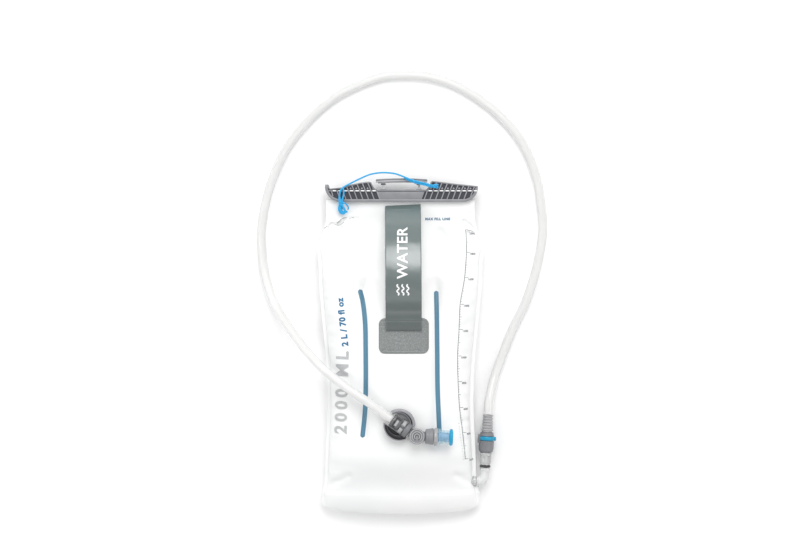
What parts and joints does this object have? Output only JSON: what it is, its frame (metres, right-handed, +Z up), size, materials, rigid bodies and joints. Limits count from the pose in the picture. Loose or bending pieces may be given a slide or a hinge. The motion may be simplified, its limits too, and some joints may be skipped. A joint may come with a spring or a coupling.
{
  "type": "hydration bladder",
  "caption": "Soft film drinking reservoir with a slide seal and hang bar, carry strap, quick-release outlet, drinking hose and bite valve, lying filled on its back.",
  "frame": {"origin": "on the surface the filled bag lies on, under the middle of the bag and slide seal", "axes": "+Y from the base gusset to the slide seal, +Z up out of the front panel, +X towards the outlet side"},
  "size_m": [0.3156, 0.4815, 0.0704],
  "materials": {
    "film": "milky translucent soft film with a slight sheen",
    "clear_plastic": "clear moulded plastic",
    "soft_clear": "translucent silicone",
    "hose_wall": "translucent flexible tubing",
    "strap_film": "glossy dark grey-green film",
    "patch_film": "mottled grey welded film",
    "grey_plastic": "mid grey satin moulding",
    "soft_grey": "mid grey flexible moulding",
    "blue_plastic": "bright blue moulding",
    "rubber": "dark rubber seal",
    "blue_cord": "braided bright blue cord",
    "steel": "spring wire"
  },
  "bodies": {
    "reservoir": {"back_panel": "film", "front_panel": "film", "base_gusset": "film", "left_baffle": "film", "right_baffle": "film", "mouth_rail_front": "clear_plastic", "mouth_rail_back": "clear_plastic", "handle_strap": "strap_film", "handle_anchor": "patch_film", "port_fitment": "clear_plastic", "port_elbow": "soft_clear", "port_insert": "clear_plastic", "insert_o_ring": "rubber", "seal_o_ring": "rubber", "lanyard": "blue_cord", "eyelet_knot": "blue_cord"},
    "slider": {"slide_seal": "grey_plastic", "hang_bridge": "grey_plastic", "lanyard_knot": "blue_cord"},
    "hose_set": {"hose": "hose_wall", "coupling_body": "grey_plastic", "strain_relief": "soft_grey", "clip_barrel": "grey_plastic", "valve_elbow": "grey_plastic", "latch_spring": "steel", "poppet_spring": "steel", "swivel_o_ring": "rubber"},
    "latch": {"latch_button": "blue_plastic"},
    "poppet": {"check_poppet": "clear_plastic"},
    "clip": {"clip_ring": "grey_plastic"},
    "shutoff": {"shutoff_knob": "grey_plastic", "shutoff_spindle": "grey_plastic"},
    "bite_valve": {"valve_barrel": "grey_plastic", "valve_collar": "grey_plastic", "mouthpiece_core": "blue_plastic", "mouthpiece_sleeve": "soft_clear"}
  },
  "joints": [
    {"name": "slider_slide", "type": "slide", "parent": "reservoir", "child": "slider", "axis": [-1, 0, 0], "range_m": [0, 0.165], "deforming": ["lanyard"]},
    {"name": "hose_unplug", "type": "slide", "parent": "reservoir", "child": "hose_set", "axis": [0.0593, 0.9982, 0], "range_m": [0, 0.016]},
    {"name": "latch_press", "type": "slide", "parent": "hose_set", "child": "latch", "axis": [-0.9982, 0.0593, 0], "range_m": [0, 0.0015], "stiffness_N_per_m": 600, "springref_m": -0.001, "deforming": ["latch_spring"]},
    {"name": "poppet_travel", "type": "slide", "parent": "hose_set", "child": "poppet", "axis": [-0.0593, -0.9982, 0], "range_m": [0, 0.002], "deforming": ["poppet_spring"]},
    {"name": "clip_swivel", "type": "hinge", "parent": "hose_set", "child": "clip", "pos_m": [-0.009, -0.0765, 0.0605], "axis": [0.8182, -0.5749, 0], "range_deg": [-15, 15]},
    {"name": "shutoff_turn", "type": "hinge", "parent": "hose_set", "child": "shutoff", "pos_m": [0.0175, -0.0938, 0.0605], "axis": [0, 0, 1], "range_deg": [0, 90]},
    {"name": "bite_swivel", "type": "hinge", "parent": "hose_set", "child": "bite_valve", "pos_m": [0.0175, -0.0938, 0.0605], "axis": [0.9992, -0.0401, 0], "continuous": true}
  ],
  "couplings": [
    {"joint": "poppet_travel", "follows": "hose_unplug", "ratio": 0.125}
  ]
}
